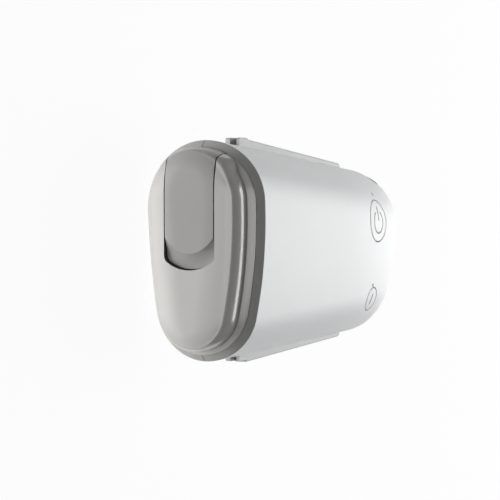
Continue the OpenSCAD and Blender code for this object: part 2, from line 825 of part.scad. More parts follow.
module main_board() placed() color("darkgreen") {
  z = main_board_z + board_t;
  difference() {
    union() {
      box(main_x, main_y, [main_board_z, z]);
      box([82, 92], [-12, -2], [z - eps, z + 1.2]);
      box([93, 99], [-14, -8], [z - eps, z + 1]);
      box([82, 89], [4, 10], [z - eps, z + 3]);
      translate([98, 8, z - eps]) cylinder(r = 3.2, h = 3);
    }
    for (p = main_posts) translate([p[0], p[1], 0]) rod_z(screw_r + 0.1, -30, 0);
  }
}

dc_face_y = rim_h / 2 - thick_taper * dc_x / body_l - 3.4;
dc_deep = 12;

module at_dc() translate([dc_x, 0, dc_z]) children();

module dc_boss() at_dc() rod_y(dc_body_r + 1.4, dc_face_y - 9, rim_h / 2);

module dc_hole() at_dc() {
  rod_y(dc_body_r, dc_face_y - dc_deep, rim_h);
}

module dc_socket() placed() color([0.12, 0.12, 0.13]) difference() {
  intersection() {
    upper_near(dc_x, 22, 0.25);
    at_dc() rod_y(dc_body_r, dc_face_y - dc_deep, rim_h / 2);
  }
  at_dc() rod_y(dc_bore_r, dc_face_y - dc_deep + 2, rim_h);
}

module dc_contact_pin() placed() color("gold") at_dc()
  rod_y(dc_pin_r, dc_face_y - dc_deep + 2, dc_face_y - 1.5);

// ---- Air outlet ----

outlet_y = (tip_inset_top - rim_h / 2 + thin_taper + end_round_in) / 2;
outlet_z = (front_depth - face_taper - face_curve_in - back_depth + end_round_in) / 2;
collar_r = outlet_r + outlet_wall;
collar_flange_r = collar_r + 1.2;

module at_outlet() translate([body_l + tan(end_lean) * outlet_y, outlet_y, outlet_z])
  rotate([0, 0, -end_lean]) rotate([0, 90, 0]) children();

module outlet_hole() at_outlet() rod_z(collar_r, -8, 5);

module outlet_collar() placed() color([0.55, 0.56, 0.58]) at_outlet() difference() {
  wall = shell_wall * cos(end_lean);
  union() {
    rod_z(collar_r, -outlet_l - 0.6, -0.6);
    rod_z(collar_flange_r, -wall - 2, -wall);
    rod_z(collar_flange_r, -outlet_l - 0.6, -outlet_l + 1.4);
  }
  rod_z(outlet_r, -outlet_l - 2, 1);
}

seal_back = 0.6;
module outlet_seal() placed() color([0.3, 0.3, 0.32]) at_outlet()
  tube_z(collar_flange_r, outlet_r + seal_back, -outlet_l - 0.6 - 1.6, -outlet_l - 0.6);

// ---- Blower ----

floor_z = -10.5;
roof_z = 3;
throat_w = 13;
scroll_gap = 2.2;
scroll_grow = 6.5;
volute_exit_x = 27;

module at_blower() translate([blower_x, blower_y, 0]) children();

// Snail outline: the radius grows with the turn and ends in a straight throat along +X
function scroll_r(t) = impeller_r + scroll_gap + scroll_grow * t / 360;
module scroll(grow) {
  polygon(concat(
    [for (t = [0 : 12 : 348]) let (r = scroll_r(t) + grow) [r * cos(t - 90 + 12), r * sin(t - 90 + 12)]]
  ));
  translate([-1, -scroll_r(360) - grow])
    square([volute_exit_x + 1, throat_w + 2 * grow - 4]);
}

module volute_lower() placed() color([0.75, 0.76, 0.78]) at_blower() {
  difference() {
    union() {
      translate([0, 0, floor_z - volute_wall])
        linear_extrude(roof_z - floor_z + volute_wall) scroll(volute_wall);
      rod_z(motor_cup_r + volute_wall, motor_base_z, floor_z);
      for (p = mount_places) translate([p[0] - blower_x, p[1] - blower_y, 0])
        rod_z(mount_r, floor_z - volute_wall, floor_z + 1);
    }
    translate([0, 0, floor_z]) linear_extrude(20) scroll(0);
    translate([volute_exit_x - 3, -scroll_r(360), floor_z])
      cube([6, throat_w - 4, roof_z - floor_z + 1]);
    rod_z(motor_cup_r, motor_base_z - 1, floor_z + 1);
  }
}

module volute_upper() placed() color([0.75, 0.76, 0.78]) at_blower() {
  difference() {
    union() {
      translate([0, 0, roof_z]) linear_extrude(volute_wall) scroll(volute_wall);
      rod_z(eye_r + 3, roof_z, duct_floor_z);
    }
    rod_z(eye_r, roof_z - 1, duct_floor_z + 1);
  }
}

hub_r = 4.2;
hub_top = -1.5;
back_plate_z = -9.6;
back_plate_t = 1.1;
blade_t = 0.9;
blade_arc_r = 13;

module blade() {
  translate([0, 0, back_plate_z + back_plate_t - eps]) linear_extrude(9.6) intersection() {
    difference() {
      translate([impeller_r * 0.56, -blade_arc_r * 0.62]) difference() {
        circle(r = blade_arc_r);
        circle(r = blade_arc_r - blade_t);
      }
      circle(r = hub_r + 2.2);
    }
    circle(r = impeller_r - 0.2);
    square([impeller_r, impeller_r]);
  }
}

module impeller() placed() color("whitesmoke") at_blower() {
  difference() {
    union() {
      rod_z(impeller_r, back_plate_z, back_plate_z + back_plate_t);
      translate([0, 0, back_plate_z]) cylinder(r1 = hub_r + 3, r2 = hub_r, h = hub_top - back_plate_z);
      for (k = [0 : blades - 1]) rotate(k * 360 / blades) blade();
    }
    rod_z(shaft_r, -30, 10);
  }
}

// ---- Motor ----

motor_lift = 4.2;
motor_base_z = shell_wall - back_depth + motor_lift;
motor_base_t = 1.4;
motor_cup_r = 13;
tube_r = bearing_r + 1.1;
tube_top = motor_base_z + 6.4;
bell_r = 12;
bell_wall = 0.9;
magnet_t = 1.1;
stator_r = 9.6;
bell_top = back_plate_z - 0.01;

module motor_base() placed() color([0.5, 0.52, 0.55]) at_blower() difference() {
  union() {
    rod_z(motor_cup_r + volute_wall, motor_base_z - motor_base_t, motor_base_z);
    rod_z(tube_r, motor_base_z - eps, tube_top);
  }
  rod_z(bearing_r, motor_base_z, tube_top + 1);
}

module bearing(z) at_blower() tube_z(bearing_r, shaft_r + 0.03, z, z + 3);
module lower_bearing() placed() color("silver") bearing(motor_base_z);
module upper_bearing() placed() color("silver") bearing(tube_top - 3);

module motor_shaft() placed() color("silver") at_blower() rod_z(shaft_r, motor_base_z + 0.2, hub_top + 0.8);

module rotor_bell() placed() color([0.3, 0.3, 0.32]) at_blower() {
  tube_z(bell_r, bell_r - bell_wall, motor_base_z + 1, back_plate_z);
  tube_z(bell_r - bell_wall + eps, shaft_r, back_plate_z - 1.4, back_plate_z);
}

module rotor_magnet() placed() color([0.15, 0.15, 0.16]) at_blower()
  tube_z(bell_r - bell_wall, bell_r - bell_wall - magnet_t, motor_base_z + 1.4, back_plate_z - 1.6);

teeth = 9;
tooth_w = 1.4;
stack_z = [motor_base_z + 1.8, motor_base_z + 6.1];
winding_t = 0.7;
module motor_stator() placed() color([0.45, 0.46, 0.5]) at_blower() {
  over = [stack_z[0] - 1, stack_z[1] + 1];
  intersection() {
    tube_z(stator_r, tube_r, stack_z[0], stack_z[1]);
    union() {
      rod_z(tube_r + 1, over[0], over[1]);
      for (k = [0 : teeth - 1]) rotate(k * 360 / teeth) {
        box([tube_r, stator_r + 1], [-tooth_w / 2, tooth_w / 2], over);
        box([stator_r - 0.9, stator_r + 1], [-2.6, 2.6], over);
      }
    }
  }
}

module stator_coils() placed() color("peru") at_blower()
  for (k = [0 : teeth - 1]) rotate(k * 360 / teeth) difference() {
    box([tube_r + 1.1, stator_r - 1], [-tooth_w / 2 - winding_t, tooth_w / 2 + winding_t],
      [stack_z[0] - winding_t, stack_z[1] + winding_t]);
    box([tube_r + 0.9, stator_r], [-tooth_w / 2, tooth_w / 2], stack_z);
  }

mount_r = 3.2;
mount_z = floor_z - volute_wall - 2.4;
mount_places = [for (t = [25, 130, 215]) let (r = scroll_r(t + 78) + volute_wall + 1.2)
  [blower_x + r * cos(t), blower_y + r * sin(t)]];

module blower_mounts() placed() color([0.85, 0.4, 0.3])
  for (p = mount_places) translate([p[0], p[1], 0]) rod_z(mount_r, mount_z, floor_z - volute_wall);

// ---- Outlet path ----

coupler_x = blower_x + volute_exit_x;
coupler_l = 5;
throat_y = blower_y - scroll_r(360) + (throat_w - 4) / 2;
throat_z = (floor_z + roof_z) / 2;
throat_h = roof_z - floor_z;

module throat_slab(grow, x, t) translate([x, throat_y, throat_z])
  cube([t, throat_w - 4 + 2 * grow, throat_h + 2 * grow], center = true);

module duct_coupler() placed() color([0.35, 0.35, 0.37]) difference() {
  throat_slab(1.4, coupler_x + coupler_l / 2, coupler_l);
  throat_slab(0, coupler_x + coupler_l / 2, coupler_l + 2);
}

// Outlet duct: a rounded slot at the throat that grows into the round outlet
duct_steps = 6;
duct_points = 32;
duct_tail = outlet_l + 2.2;
function blend(a, b, s) = a + (b - a) * s;
function ease(s) = s * s * (3 - 2 * s);

// One ring of the duct: a superellipse whose power falls from slot to circle, standing on
// a frame that turns with the end's lean
function duct_ring(s, grow) =
  let (
    x_end = body_l + tan(end_lean) * outlet_y - duct_tail * cos(end_lean),
    y_end = outlet_y + duct_tail * sin(end_lean),
    e = ease(s),
    x = blend(coupler_x + coupler_l, x_end, s),
    y = blend(throat_y, y_end, e),
    z = blend(throat_z, outlet_z, e),
    half_y = blend(throat_w / 2 - 2, outlet_r, e) + grow,
    half_z = blend(throat_h / 2, outlet_r, e) + grow,
    power = blend(5, 2, e),
    lean = tan(end_lean) * s
  )
  [for (j = [0 : duct_points - 1]) let (
    t = 360 * j / duct_points,
    dy = half_y * sign(cos(t)) * pow(abs(cos(t)), 2 / power),
    dz = half_z * sign(sin(t)) * pow(abs(sin(t)), 2 / power)
  ) [x + lean * dy, y + dy, z + dz]];

module outlet_duct() placed() color([0.7, 0.71, 0.73]) {
  wall = 1.3;
  last = duct_steps;
  outer = [for (i = [0 : last]) duct_ring(i / last, wall)];
  inner = [for (i = [0 : last]) duct_ring(i / last, 0)];
  n = duct_points;
  // A tube: outer skin, inner skin and the two end rings in one closed surface
  points = concat([for (r = outer) each r], [for (r = inner) each r]);
  off = (last + 1) * n;
  skin = [for (i = [0 : last - 1], j = [0 : n - 1]) each let (
    a = i * n + j, b = i * n + (j + 1) % n, c = a + n, d = b + n)
    [[a, b, c], [b, d, c], [off + a, off + c, off + b], [off + b, off + c, off + d]]];
  rims = [for (j = [0 : n - 1]) each let (
    a = j, b = (j + 1) % n, c = last * n + j, d = last * n + (j + 1) % n)
    [[a, off + a, b], [b, off + a, off + b], [c, d, off + c], [d, off + d, off + c]]];
  polyhedron(points = points, faces = concat(skin, rims));
}

module flow_sensor() placed() color([0.15, 0.2, 0.3])
  box([power_x - 7, power_x - 1], [pairing_y + 9.5, pairing_y + 14.5], [board_z - 2, board_z]);

// ---- Feet ----

foot_from = 14;
foot_to = 92;
foot_ys = [14, -15];

module foot_strips() placed() color([0.3, 0.3, 0.31]) difference() {
  for (y = foot_ys) hull() for (x = [foot_from, foot_to])
    translate([x, y, -seam_z]) cylinder(r = foot_half, h = 6, $fn = 32);
  half_body(false);
}

upper_shell();
lower_shell();
upper_bezel();
lower_bezel();
end_cap();
cap_seal();
filter_door();
door_hinge_pin();
filter_frame();
air_filter();
intake_gasket();
left_rail();
right_rail();
power_button();
pairing_button();
power_dome();
pairing_dome();
button_board();
power_led_lens();
pairing_led_lens();
main_board();
dc_socket();
dc_contact_pin();
outlet_collar();
outlet_seal();
outlet_duct();
duct_coupler();
volute_lower();
volute_upper();
impeller();
rotor_magnet();
rotor_bell();
motor_shaft();
lower_bearing();
upper_bearing();
motor_stator();
stator_coils();
motor_base();
blower_mounts();
intake_duct();
acoustic_foam();
flow_sensor();
foot_strips();
housing_screws();
board_screws();
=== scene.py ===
import math

import bpy
import bmesh
import numpy as np
from mathutils import Matrix, Vector
from mathutils.bvhtree import BVHTree


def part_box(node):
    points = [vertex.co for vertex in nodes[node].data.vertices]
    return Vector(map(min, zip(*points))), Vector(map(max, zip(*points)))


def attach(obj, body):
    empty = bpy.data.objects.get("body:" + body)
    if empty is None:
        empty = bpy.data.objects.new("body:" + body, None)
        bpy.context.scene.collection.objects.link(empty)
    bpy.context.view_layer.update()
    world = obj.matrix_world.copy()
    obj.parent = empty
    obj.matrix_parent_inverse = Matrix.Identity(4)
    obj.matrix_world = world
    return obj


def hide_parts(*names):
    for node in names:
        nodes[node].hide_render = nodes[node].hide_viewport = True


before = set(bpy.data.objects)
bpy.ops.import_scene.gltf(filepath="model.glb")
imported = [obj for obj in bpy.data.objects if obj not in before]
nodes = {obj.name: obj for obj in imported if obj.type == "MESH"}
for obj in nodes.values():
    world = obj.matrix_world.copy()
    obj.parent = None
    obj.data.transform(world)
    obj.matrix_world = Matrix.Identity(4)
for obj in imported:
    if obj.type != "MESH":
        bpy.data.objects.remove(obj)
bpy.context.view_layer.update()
scene = bpy.context.scene

# Points are in device millimetres: X = 0 at the rim and + towards the outlet, Z = 0 at the
# parting plane. SHIFT and MM turn them into the frame's metres.
MM = 0.001
RIM_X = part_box("upper_bezel")[1][0] * 1000
SEAM_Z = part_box("upper_shell")[0][2] * 1000
SHIFT = np.array([RIM_X, 0.0, SEAM_Z])

# ---- Sizes in millimetres and degrees, as in the CAD source ----
# Rim of the wide end: height, then radii of thick edge, thin edge, button face and back
RIM_H, THICK_R, THIN_R, FACE_R, BACK_R = 80.8, 23.1, 20.2, 184.0, 329.0
# Depth of the front and the back half at the rim, and length of the body
FRONT_D, BACK_D, BODY_L = 25.8, 25.4, 121.6
# How far the thick edge, the thin edge and the button face come in over that length
THICK_TAPER, THIN_TAPER, FACE_TAPER = 10.3, 5.45, 2.0
# How much the two edge radii grow over it, and how much larger they are at the back
THICK_GROW, THIN_GROW, THICK_BACK, THIN_BACK = 1.7, 2.1, 1.08, 1.06
# Rounding of the narrow end: length and depth, the same for the button face, and its power
END_L, END_IN, FACE_L, FACE_IN, POWER = 19.8, 9.7, 55.0, 10.0, 2.2
# Lean of the narrow end, and wall of the shells
LEAN, WALL = 7.5, 2.2
# Bezel: length, and how far it comes in
BEZEL_L, BEZEL_IN = 2.05, 2.4
# Cap: edge of the flange and face in front of the rim, crown over the face, and wall
FLANGE_X, CAP_FACE, CROWN, CAP_WALL = 2.4, 10.3, 1.7, 1.8
CAP_REACH = CAP_FACE + CROWN
# How far the cap's spigot, the foot of its wall and the edge of its crown lie in
SPIGOT_IN, FILLET_IN = 3.4, 5.0
CROWN_IN = FILLET_IN + 3.6
# Run of the crown, and how much less the cap comes in at its two narrow ends
CROWN_RUN, TIP_SHARE = 11, 0.5
# Door: width, middle, lowest end, radius of its round end and its corners, gap and wall
DOOR_W, DOOR_Z, DOOR_LOW, DOOR_R, CORNER_R = 20.8, 0.6, -6.3, 17.0, 2.4
DOOR_GAP, DOOR_WALL, CURVE_TIP = 0.45, 1.4, 2.0
SCOOP_R, SCOOP_DEEP, SCOOP_RUN = 11.1, 2.2, 5.6
HINGE_X, HINGE_Y, RELIEF_R = 4.4, 35.5, 3.1
# Keys as (x, y, radius), the gap round them and the height of their underside
POWER_KEY, PAIR_KEY = (92.8, 10.2, 8.25), (93.3, -21.5, 4.5)
KEY_GAP, KEY_BASE = 0.35, 14.6
POWER_LED = (93.7, 10.2 + 8.25 + 2.45)
PAIR_LED = (92.0, -21.5 + 4.5 + 1.2)
# Power inlet as (x, z, radius); the middle of the outlet's mouth (0.1317 is the lean's slope)
DC = (110.5, 8.5, 4.4)
OUTLET_Y = -2.425
OUTLET = (BODY_L + 0.1317 * OUTLET_Y, OUTLET_Y, -0.95)
# Points round a circle, a section's edge arc and its large arc
CIRCLE, ARC, SIDE = 96, 40, 26


# ---- Mesh helpers ----
def obj_from(name, points, faces):
    """A mesh object from device millimetres."""
    me = bpy.data.meshes.new(name)
    p = (np.asarray(points, float) + SHIFT) * MM
    me.from_pydata([tuple(v) for v in p], [], [tuple(int(i) for i in f) for f in faces])
    me.update()
    ob = bpy.data.objects.new(name, me)
    scene.collection.objects.link(ob)
    bm = bmesh.new()
    bm.from_mesh(me)
    bmesh.ops.remove_doubles(bm, verts=bm.verts, dist=2e-7)
    bmesh.ops.recalc_face_normals(bm, faces=bm.faces)
    bm.to_mesh(me)
    bm.free()
    return ob


def grid_faces(m, n, closed=True):
    out = []
    for i in range(m - 1):
        for j in range(n if closed else n - 1):
            k = (j + 1) % n
            out.append((i * n + j, i * n + k, (i + 1) * n + k, (i + 1) * n + j))
    return out


def loft(name, rings):
    """A closed solid over rings of equal counts."""
    rings = np.asarray(rings, float)
    m, n, _ = rings.shape
    faces = grid_faces(m, n)
    faces += [tuple(range(n)), tuple(range((m - 1) * n, m * n))]
    return obj_from(name, rings.reshape(-1, 3), faces)


def boolean(ob, cutter, op="DIFFERENCE"):
    """Cuts ob with the cutter, which is used up."""
    mod = ob.modifiers.new("cut", "BOOLEAN")
    mod.operation, mod.solver, mod.object = op, "EXACT", cutter
    deps = bpy.context.evaluated_depsgraph_get()
    new = bpy.data.meshes.new_from_object(ob.evaluated_get(deps))
    ob.modifiers.clear()
    old = ob.data
    ob.data = new
    bpy.data.meshes.remove(old)
    drop(cutter)


def drop(ob):
    me = ob.data
    bpy.data.objects.remove(ob)
    bpy.data.meshes.remove(me)


def join(name, obs):
    bm = bmesh.new()
    for o in obs:
        bm.from_mesh(o.data)
    me = bpy.data.meshes.new(name)
    bm.to_mesh(me)
    bm.free()
    for o in obs:
        drop(o)
    ob = bpy.data.objects.new(name, me)
    scene.collection.objects.link(ob)
    return ob


class Skin:
    """A smooth surface over open or closed rings; its normals come from the grid."""

    def __init__(self, rings, closed):
        rings = (np.asarray(rings, float) + SHIFT) * MM
        m, n, _ = rings.shape
        if closed:
            along = np.roll(rings, -1, 1) - np.roll(rings, 1, 1)
        else:
            along = np.gradient(rings, axis=1)
        across = np.gradient(rings, axis=0)
        nrm = np.cross(along, across)
        size = np.linalg.norm(nrm, axis=2, keepdims=True)
        nrm = nrm / np.maximum(size, 1e-12)
        mid = rings.mean(axis=(0, 1))
        if np.einsum("ijk,ijk->ij", nrm, rings - mid).sum() < 0:
            nrm = -nrm
        self.pts = rings.reshape(-1, 3)
        self.nrm = nrm.reshape(-1, 3)
        tris = []
        for a, b, c, d in grid_faces(m, n, closed):
            tris += [(a, b, c), (a, c, d)]
        self.tris = np.array(tris)
        self.bvh = BVHTree.FromPolygons([tuple(p) for p in self.pts], [tuple(t) for t in tris])

    def normal(self, co, index):
        a, b, c = self.pts[self.tris[index]]
        v0, v1, v2 = b - a, c - a, np.array(co) - a
        d00, d01, d11, d20, d21 = v0 @ v0, v0 @ v1, v1 @ v1, v2 @ v0, v2 @ v1
        den = d00 * d11 - d01 * d01
        if abs(den) < 1e-24:
            return self.nrm[self.tris[index][0]]
        v = (d11 * d20 - d01 * d21) / den
        w = (d00 * d21 - d01 * d20) / den
        na, nb, nc = self.nrm[self.tris[index]]
        out = na * (1 - v - w) + nb * v + nc * w
        return out / max(np.linalg.norm(out), 1e-9)


def shade(ob, skins=(), angle=32):
    """Smooth shading, sharp past an angle, with the skins' normals where the mesh lies on one."""
    me = ob.data
    me.polygons.foreach_set("use_smooth", [True] * len(me.polygons))
    me.set_sharp_from_angle(angle=math.radians(angle))
    me.update()
    if not skins:
        return
    normals = [tuple(c.vector) for c in me.corner_normals]
    near = [[s.bvh.find_nearest(v.co, 3e-5) for v in me.vertices] for s in skins]
    for poly in me.polygons:
        pn = np.array(poly.normal)
        for li in poly.loop_indices:
            vi = me.loops[li].vertex_index
            for s, hits in zip(skins, near):
                co, _, idx, _ = hits[vi]
                if co is None:
                    continue
                sn = s.normal(co, idx)
                if pn @ sn > 0.88:
                    normals[li] = tuple(sn)
                    break
    me.normals_split_custom_set(normals)


def mark_inside_and_gap_shade(ob, skins, reach=6e-5):
    """Marks the faces that lie on none of the outer skins; they take the dark inner plastic,
    which is partly the cap's own unpainted plastic and partly painted shade in the gaps at the
    bezel and round the door.
    """
    for f in ob.data.polygons:
        near = False
        for s in skins:
            hit = s.bvh.find_nearest(f.center, 3e-4)
            if hit[0] is None:
                continue
            off = abs((f.center - hit[0]).dot(f.normal))
            along = abs(f.normal @ Vector(s.normal(hit[0], hit[2])))
            near = near or (off < reach and along > 0.8)
        crown = f.normal.x < -0.95 and f.center.x * 1000 - RIM_X < -CAP_REACH + 0.5
        f.material_index = 0 if near or crown else 1


# ---- The egg section ----
def quarter(steps):
    """Pairs (1 - cos, sin) at even steps over a quarter turn."""
    return [(1 - math.cos(math.radians(t)), math.sin(math.radians(t)))
            for t in np.linspace(0, 90, steps)]


def rounding(s, power=POWER):
    s = np.clip(s, 0, 1)
    return 1 - (1 - s ** power) ** (1 / power)


def egg_half(top, bottom, ra, rb, side_r, depth, inset, deep):
    """Half a section: two edge arcs joined by one large arc, scaled to its depth."""
    a, b = top - ra, bottom + rb
    y0 = (a * a - b * b - (side_r - ra) ** 2 + (side_r - rb) ** 2) / (2 * (a - b))
    z0 = -math.sqrt((side_r - ra) ** 2 - (a - y0) ** 2)
    ta, tb = math.atan2(a - y0, -z0), math.atan2(b - y0, -z0)
    t1 = np.linspace(-math.pi / 2, tb, ARC + 1)
    t2 = np.linspace(tb, ta, SIDE + 1)[1:]
    t3 = np.linspace(ta, math.pi / 2, ARC + 1)[1:]
    y = np.concatenate([b + (rb - inset) * np.sin(t1), y0 + (side_r - inset) * np.sin(t2),
                        a + (ra - inset) * np.sin(t3)])
    z = np.concatenate([(rb - inset) * np.cos(t1), z0 + (side_r - inset) * np.cos(t2),
                        (ra - inset) * np.cos(t3)])
    z = np.maximum(z, 0) * (depth - deep) / z.max()
    return y, z


def body_half(x, inset, front):
    """Half section of the body at x, drawn in by inset."""
    u = min(1, max(0, x / BODY_L))
    drawn = END_IN * rounding((x - (BODY_L - END_L)) / END_L) + inset
    ra, rb = THICK_R + THICK_GROW * u, THIN_R + THIN_GROW * u
    top, bottom = RIM_H / 2 - THICK_TAPER * u, -RIM_H / 2 + THIN_TAPER * u
    if front:
        deep = FACE_IN * rounding((x - (BODY_L - FACE_L)) / FACE_L) + inset
        return egg_half(top, bottom, ra, rb, FACE_R, FRONT_D - FACE_TAPER * u, drawn, deep)
    return egg_half(top, bottom, ra * THICK_BACK, rb * THIN_BACK, BACK_R, BACK_D, drawn, drawn)


def lean(x):
    """Slope of the section at x, from 0 to the lean of the narrow end."""
    return math.tan(math.radians(LEAN)) * min(1, max(0, (x - (BODY_L - END_L)) / END_L))


def half_ring(x, inset, front, place=None, foot=0.0):
    """Half section at x, put at place; foot carries it past the parting plane."""
    y, z = body_half(x, inset, front)
    side = 1 if front else -1
    if foot > 0:
        y = np.concatenate([y, [y[-1], y[0]]])
        z = np.concatenate([z, [-foot, -foot]])
    px = (x if place is None else place) + lean(x) * y
    return np.stack([px, y, side * z], axis=1)


def rim_ring(inset, place):
    """The rim's whole section, drawn in by inset and put at place."""
    yf, zf = body_half(0, inset, True)
    yb, zb = body_half(0, inset, False)
    y = np.concatenate([yf, yb[-2:0:-1]])
    z = np.concatenate([zf, -zb[-2:0:-1]])
    return np.stack([np.full_like(y, place), y, z], axis=1)


def drawn_ring(side, tip, place):
    """Section of the rim drawn in by side at its sides and by tip at its two narrow ends."""
    ring = rim_ring(side, place)
    ring[:, 1] *= (RIM_H / 2 - tip) / (RIM_H / 2 - side)
    return ring


FLANGE_IN = BEZEL_IN + 0.1


def cap_tip(side):
    """How far the cap is drawn in at its narrow ends where its sides are drawn in by side."""
    return FLANGE_IN + (side - FLANGE_IN) * TIP_SHARE if side > FLANGE_IN else side


# Stations along the body, closer together where the button face and the end round off
STATIONS = np.concatenate([np.linspace(0, BODY_L - FACE_L, 12)[:-1],
                           BODY_L - FACE_L * (1 - np.linspace(0, 1, 44)) ** 2])
fine_tip = BODY_L - END_L * (1 - np.linspace(0, 1, 30)) ** 2
STATIONS = np.unique(np.round(np.concatenate([STATIONS, fine_tip]), 3))
STATIONS = STATIONS[np.concatenate([[True], np.diff(STATIONS) > 0.012])]

front_skin = Skin([half_ring(x, 0, True) for x in STATIONS], False)
back_skin = Skin([half_ring(x, 0, False) for x in STATIONS], False)


def on_face(x, y):
    """Height of the button face at x, y, in device millimetres."""
    start = Vector(((x + RIM_X) / 1000, y / 1000, 1.0))
    hit = front_skin.bvh.ray_cast(start, Vector((0, 0, -1)))
    return hit[0].z * 1000 - SEAM_Z


# ---- Materials ----
def srgb(r, g, b):
    """A colour as a screen shows it, in Blender's linear values."""
    def lin(v):
        v = v / 255
        return v / 12.92 if v <= 0.04045 else ((v + 0.055) / 1.055) ** 2.4
    return tuple(lin(v) for v in (r, g, b))


def add_node(tree, kind, **values):
    """A shader node; values set its inputs by name, with _ for each space."""
    node = tree.nodes.new("ShaderNode" + kind)
    for name, value in values.items():
        node.inputs[name.replace("_", " ")].default_value = value
    return node


def find_node(tree, kind):
    return next(n for n in tree.nodes if n.bl_idname == "ShaderNode" + kind)


def math_node(tree, operation, *sockets):
    """A math node that the sockets are joined to, in order."""
    node = add_node(tree, "Math")
    node.operation = operation
    for socket, into in zip(sockets, node.inputs):
        tree.links.new(socket, into)
    return node


def empty_tree(owner):
    """The cleared node tree of a material or world."""
    owner.use_nodes = True
    owner.node_tree.nodes.clear()
    return owner.node_tree


def plastic(name, color, rough=0.4, grain=1400, bump=0.05, blotch=0.03, rough_var=0.06,
            metallic=0.0, coat=0.0, fine=5200):
    """Moulded surface: fine spark-eroded grain, with slow changes of colour and of gloss."""
    mat = bpy.data.materials.new(name)
    tree = empty_tree(mat)
    link = tree.links.new
    out = add_node(tree, "OutputMaterial")
    bsdf = add_node(tree, "BsdfPrincipled", Metallic=metallic, IOR=1.46, Coat_Weight=coat,
                    Coat_Roughness=0.12)
    link(bsdf.outputs[0], out.inputs[0])
    place = add_node(tree, "TexCoord").outputs["Object"]

    slow = add_node(tree, "TexNoise", Scale=60, Detail=5, Roughness=0.6)
    link(place, slow.inputs["Vector"])
    ramp = add_node(tree, "ValToRGB")
    darker, lighter = ramp.color_ramp.elements
    darker.position, lighter.position = 0.3, 0.7
    darker.color = (*[c * (1 - blotch) for c in color], 1)
    lighter.color = (*[min(1.0, c * (1 + blotch)) for c in color], 1)
    link(slow.outputs["Fac"], ramp.inputs["Fac"])
    link(ramp.outputs["Color"], bsdf.inputs["Base Color"])

    smear = add_node(tree, "TexNoise", Scale=140, Detail=8, Distortion=1.2)
    link(place, smear.inputs["Vector"])
    span = add_node(tree, "MapRange", To_Min=max(0.02, rough - rough_var),
                    To_Max=min(1.0, rough + rough_var))
    link(smear.outputs["Fac"], span.inputs["Value"])
    link(span.outputs["Result"], bsdf.inputs["Roughness"])

    grit = add_node(tree, "TexNoise", Scale=fine, Detail=3)
    link(place, grit.inputs["Vector"])
    cells = add_node(tree, "TexVoronoi", Scale=grain)
    link(place, cells.inputs["Vector"])
    both = math_node(tree, "MULTIPLY_ADD", cells.outputs["Distance"])
    both.inputs[1].default_value = 0.6
    link(grit.outputs["Fac"], both.inputs[2])
    relief = add_node(tree, "Bump", Strength=bump, Distance=0.0001)
    link(both.outputs[0], relief.inputs["Height"])
    link(relief.outputs["Normal"], bsdf.inputs["Normal"])
    return mat


def paint(name, color, rough, coat=0.0):
    """Smooth paint with a little metal in it, for the grey end."""
    return plastic(name, color, rough=rough, bump=0.02, blotch=0.008, metallic=0.1, coat=coat,
                   rough_var=0.01)


def fibres(name, color, scale, depth):
    """Felted or foamed surface: tangled threads with pores between them."""
    mat = plastic(name, color, rough=0.9, bump=0.9, blotch=0.1, grain=scale, fine=scale * 2.2)
    tree = mat.node_tree
    relief = find_node(tree, "Bump")
    relief.inputs["Distance"].default_value = depth
    wave = add_node(tree, "TexWave", Scale=scale / 3, Distortion=14, Detail=4)
    tree.links.new(find_node(tree, "TexCoord").outputs["Object"], wave.inputs["Vector"])
    grain = relief.inputs["Height"].links[0].from_socket
    mix = math_node(tree, "ADD", wave.outputs["Fac"], grain)
    tree.links.new(mix.outputs[0], relief.inputs["Height"])
    return mat


def board_material():
    """Green solder mask over a faint pattern of tracks."""
    mat = plastic("solder_mask", srgb(22, 78, 52), rough=0.35, bump=0.03, blotch=0.1)
    tree = mat.node_tree
    base = find_node(tree, "BsdfPrincipled").inputs["Base Color"]
    brick = add_node(tree, "TexBrick", Scale=300, Mortar_Size=0.012, Color1=(1, 1, 1, 1),
                     Color2=(0.85, 0.85, 0.85, 1), Mortar=(0.55, 0.6, 0.55, 1))
    tree.links.new(find_node(tree, "TexCoord").outputs["Object"], brick.inputs["Vector"])
    mix = add_node(tree, "Mix")
    mix.data_type, mix.blend_type = "RGBA", "MULTIPLY"
    mix.inputs[0].default_value = 1.0
    # Inputs 6 and 7 and output 2 are the node's colour sockets
    tree.links.new(base.links[0].from_socket, mix.inputs[6])
    tree.links.new(brick.outputs["Color"], mix.inputs[7])
    tree.links.new(mix.outputs[2], base)
    return mat


def lens_material(name, color, glow):
    mat = plastic(name, color, rough=0.2, bump=0.01, blotch=0.03)
    bsdf = find_node(mat.node_tree, "BsdfPrincipled")
    bsdf.inputs["Emission Color"].default_value = (*color, 1)
    bsdf.inputs["Emission Strength"].default_value = glow
    return mat


key_white = plastic("key_white", srgb(234, 235, 236), rough=0.46, bump=0.02, blotch=0.01)
# Dark unpainted plastic; on the cap it also serves as painted shade in the gaps
inner_plastic_and_gap_shade = plastic("inner_plastic", srgb(88, 89, 92), rough=0.6, bump=0.12, blotch=0.04)
ink = plastic("printed_ink", srgb(96, 98, 101), rough=0.5, bump=0.03, blotch=0.03)

